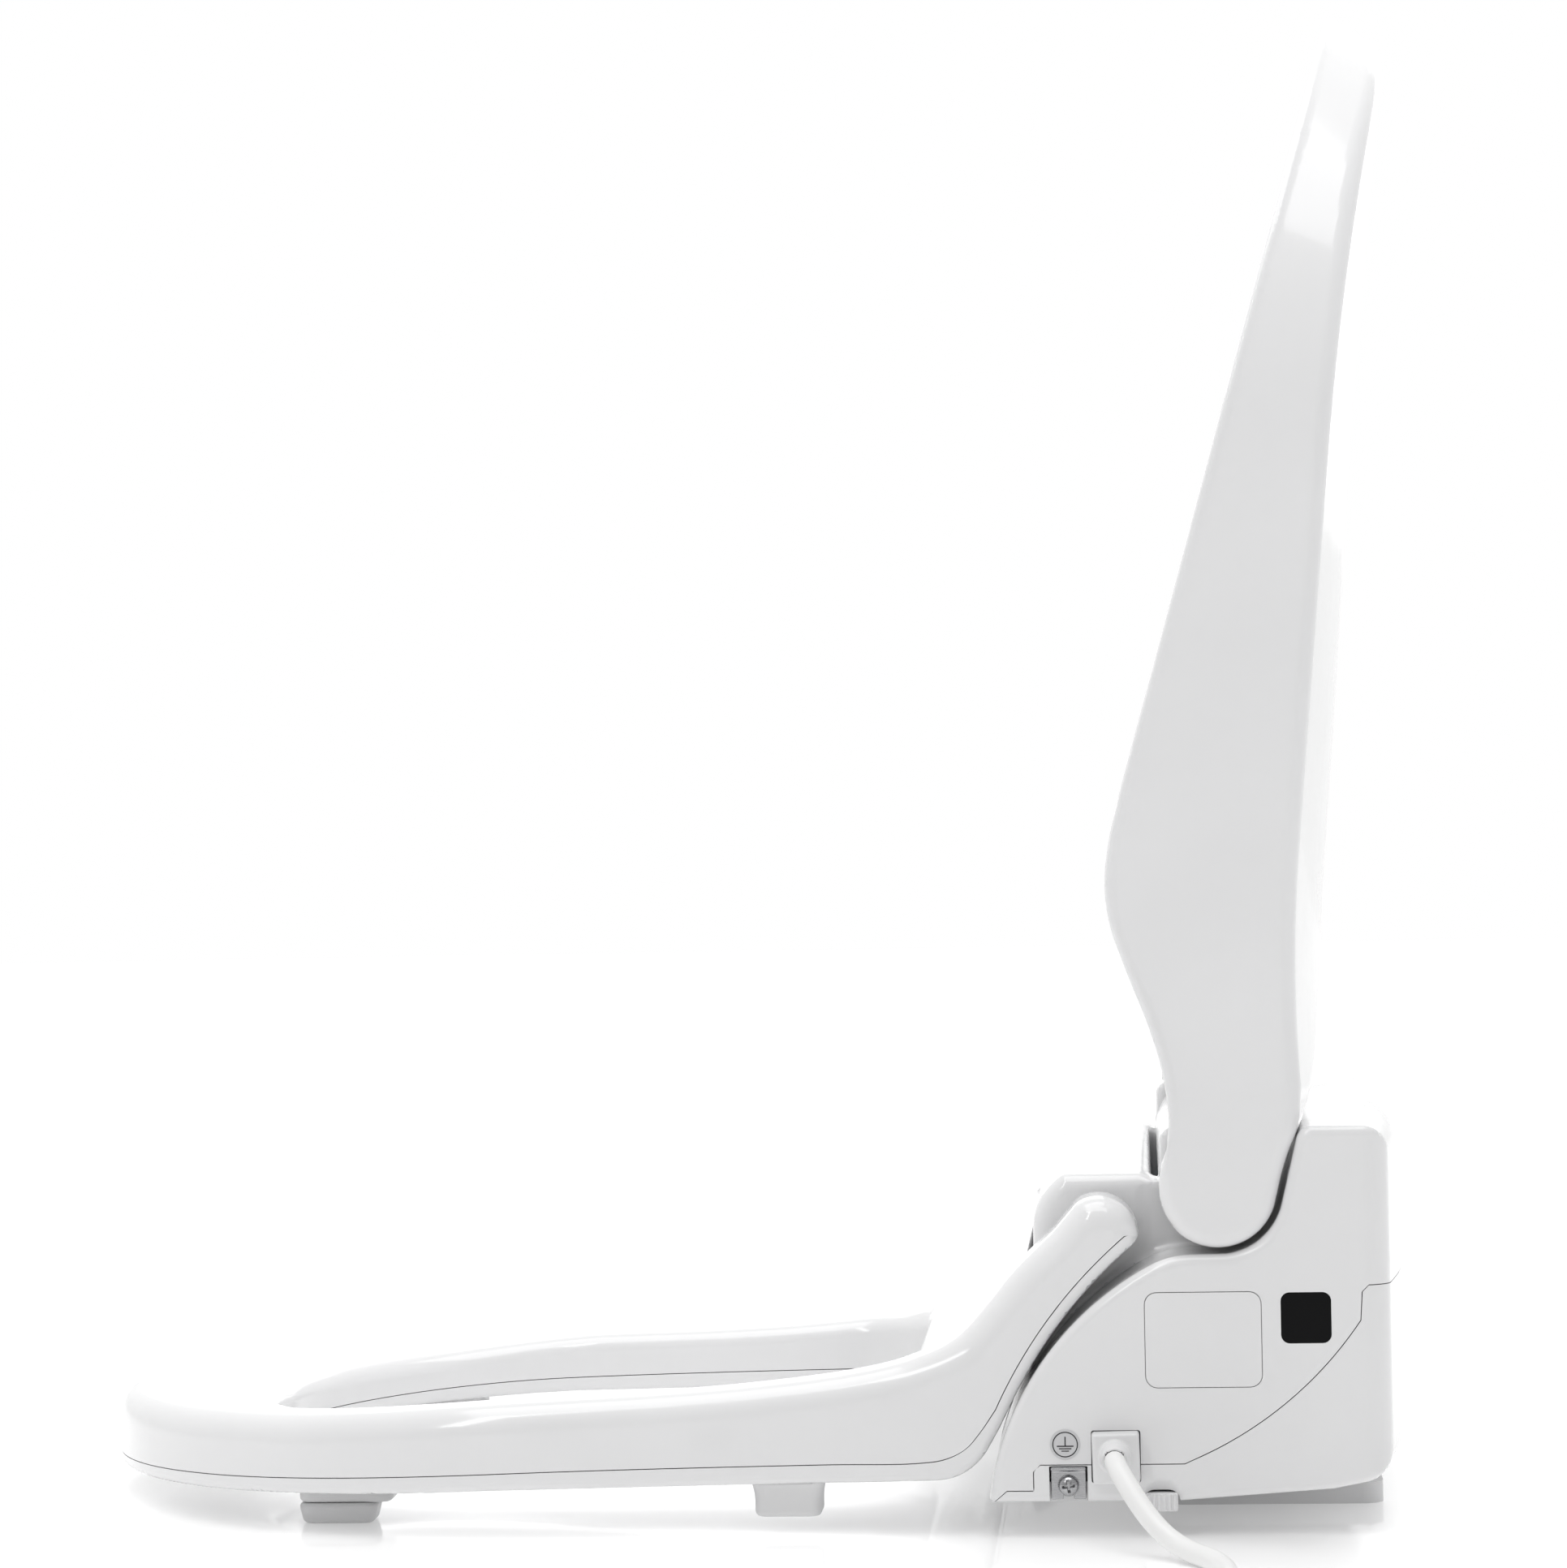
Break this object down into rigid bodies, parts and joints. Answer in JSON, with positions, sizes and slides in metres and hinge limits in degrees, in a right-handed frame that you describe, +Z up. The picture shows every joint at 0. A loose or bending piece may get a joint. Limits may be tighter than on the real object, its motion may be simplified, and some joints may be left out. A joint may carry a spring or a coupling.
{
  "type": "electric bidet seat",
  "caption": "Electric bidet seat: washing and drying housing on a slide-on mounting plate, with a heated elongated seat, a hinged lid, a spray wand and a mains cord.",
  "frame": {"origin": "midway between the two mounting holes, on the mounting plate's face that rests on the bowl", "axes": "+Z up, -Y to the front of the seat, +X to the seated user's left, the side with the mains cord"},
  "size_m": [0.6134, 0.526, 0.5879],
  "materials": {
    "white_gloss": "glossy moulded white plastic",
    "white_satin": "satin moulded white plastic",
    "cord_white": "soft white sheath",
    "light_grey": "moulded grey plastic",
    "dark_grey": "moulded dark plastic",
    "black_gloss": "polished infrared-clear black",
    "bumper_rubber": "soft pale rubber",
    "steel": "plated steel",
    "aluminium": "bare aluminium",
    "hose": "silicone hose",
    "board": "coated circuit board",
    "copper": "foil heater"
  },
  "bodies": {
    "base": {"mounting_plate": "white_satin", "mount_bushes": "light_grey", "base_tray": "white_gloss", "upper_cover": "white_gloss", "side_panel": "white_gloss", "ir_window": "black_gloss", "ir_receiver": "dark_grey", "earth_badge": "light_grey", "earth_plate": "steel", "earth_screw": "steel", "cord_inlet": "white_satin", "power_cord": "cord_white", "cord_coil": "cord_white", "cord_tail": "cord_white", "plug_body": "cord_white", "plug_blades": "steel", "water_inlet": "white_satin", "inlet_valve": "dark_grey", "heater_tank": "light_grey", "tank_cover": "light_grey", "heating_element": "steel", "tank_sensor": "dark_grey", "feed_hose": "hose", "spray_hose": "hose", "nozzle_housing": "light_grey", "nozzle_motor": "dark_grey", "fan_housing": "dark_grey", "fan_motor": "steel", "dryer_duct": "light_grey", "dryer_heater": "aluminium", "main_board": "board", "power_board": "board", "transformer": "dark_grey", "cover_screws": "steel", "seat_bushes": "light_grey", "seat_dampers": "dark_grey", "lid_dampers": "dark_grey", "release_spring": "steel"},
    "button": {"release_button": "white_satin"},
    "plunger": {"valve_plunger": "steel"},
    "wand": {"nozzle_wand": "white_satin", "nozzle_tip": "light_grey"},
    "pinion": {"drive_pinion": "light_grey"},
    "rotor": {"fan_rotor": "dark_grey"},
    "seat": {"seat_top": "white_gloss", "seat_bottom": "white_gloss", "seat_heater": "copper", "front_bumpers": "white_satin", "front_pads": "bumper_rubber", "mid_bumpers": "bumper_rubber", "seat_pins": "steel"},
    "lid": {"lid_shell": "white_gloss", "lid_pins": "steel"}
  },
  "joints": [
    {"name": "lid_hinge", "type": "hinge", "parent": "base", "child": "lid", "pos_m": [0, -0.021, 0.1285], "axis": [-1, 0, 0], "range_deg": [-105.9, 0]},
    {"name": "seat_hinge", "type": "hinge", "parent": "base", "child": "seat", "pos_m": [0, -0.0655, 0.1103], "axis": [-1, 0, 0], "range_deg": [0, 100]},
    {"name": "wand_slide", "type": "slide", "parent": "base", "child": "wand", "axis": [0, -0.8829, -0.4695], "range_m": [0, 0.066]},
    {"name": "pinion_spin", "type": "hinge", "parent": "base", "child": "pinion", "pos_m": [0, -0.08442, 0.04107], "axis": [-1, 0, 0], "range_deg": [-1, 421]},
    {"name": "button_press", "type": "slide", "parent": "base", "child": "button", "axis": [-1, 0, 0], "range_m": [0, 0.003], "stiffness_N_per_m": 400, "springref_m": -0.002},
    {"name": "plunger_lift", "type": "slide", "parent": "base", "child": "plunger", "axis": [0, 0, 1], "range_m": [0, 0.003], "stiffness_N_per_m": 200, "springref_m": -0.002},
    {"name": "fan_spin", "type": "hinge", "parent": "base", "child": "rotor", "pos_m": [0.096, 0.002, 0.062], "axis": [1, 0, 0], "continuous": true}
  ],
  "couplings": [
    {"joint": "pinion_spin", "follows": "wand_slide", "rad_per_m": 111.11}
  ]
}
